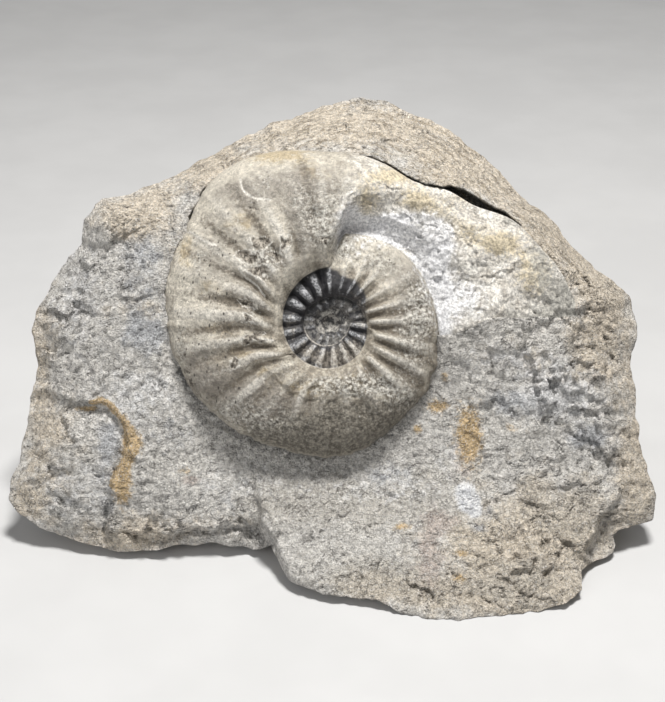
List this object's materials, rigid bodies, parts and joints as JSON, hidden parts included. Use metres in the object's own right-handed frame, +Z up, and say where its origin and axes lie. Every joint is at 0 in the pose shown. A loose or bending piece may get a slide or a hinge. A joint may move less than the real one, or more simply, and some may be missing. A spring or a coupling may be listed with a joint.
{
  "type": "ammonite fossil in limestone matrix",
  "caption": "Coiled, ribbed ammonite fossil set proud in the leaning face of a rough, wedge-shaped block of pale limestone.",
  "frame": {"origin": "on the flat broken base, under the middle of the block", "axes": "+X along the block's length, to the right of someone facing the fossil; -Y towards that person; +Z up"},
  "size_m": [0.2178, 0.1251, 0.1318],
  "materials": {
    "limestone": "rough broken limestone",
    "fossil_shell": "worn fossil shell, satin"
  },
  "bodies": {
    "root": {"stone_matrix": "limestone", "ammonite": "fossil_shell"}
  },
  "joints": []
}
